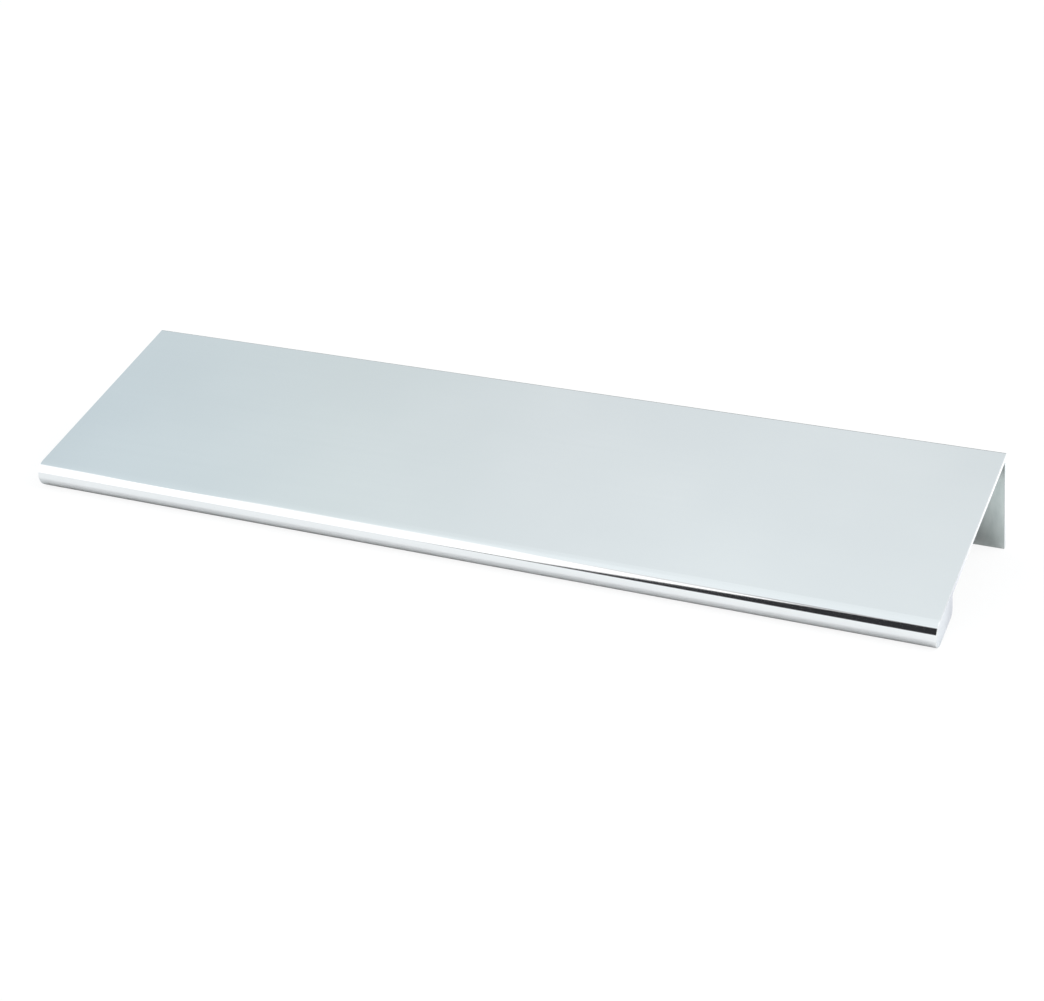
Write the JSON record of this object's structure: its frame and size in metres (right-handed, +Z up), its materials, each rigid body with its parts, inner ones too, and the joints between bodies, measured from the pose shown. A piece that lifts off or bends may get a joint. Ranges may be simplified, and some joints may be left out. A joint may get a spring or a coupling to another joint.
{
  "type": "finger pull profile",
  "caption": "Handleless finger pull profile in polished aluminium: a flat plate over the edge of a door or drawer front, a rounded gripping nose and a rear screw flange.",
  "frame": {"origin": "on the level surface that the profile lies on, under the middle of its outline", "axes": "+X along the length to the right, +Y back towards the flange, +Z up; the plate slopes down to the front by the angle at which the profile rests"},
  "size_m": [0.15, 0.044, 0.0174],
  "materials": {
    "polished_aluminium": "polished"
  },
  "bodies": {
    "root": {"finger_pull_profile": "polished_aluminium"}
  },
  "joints": []
}
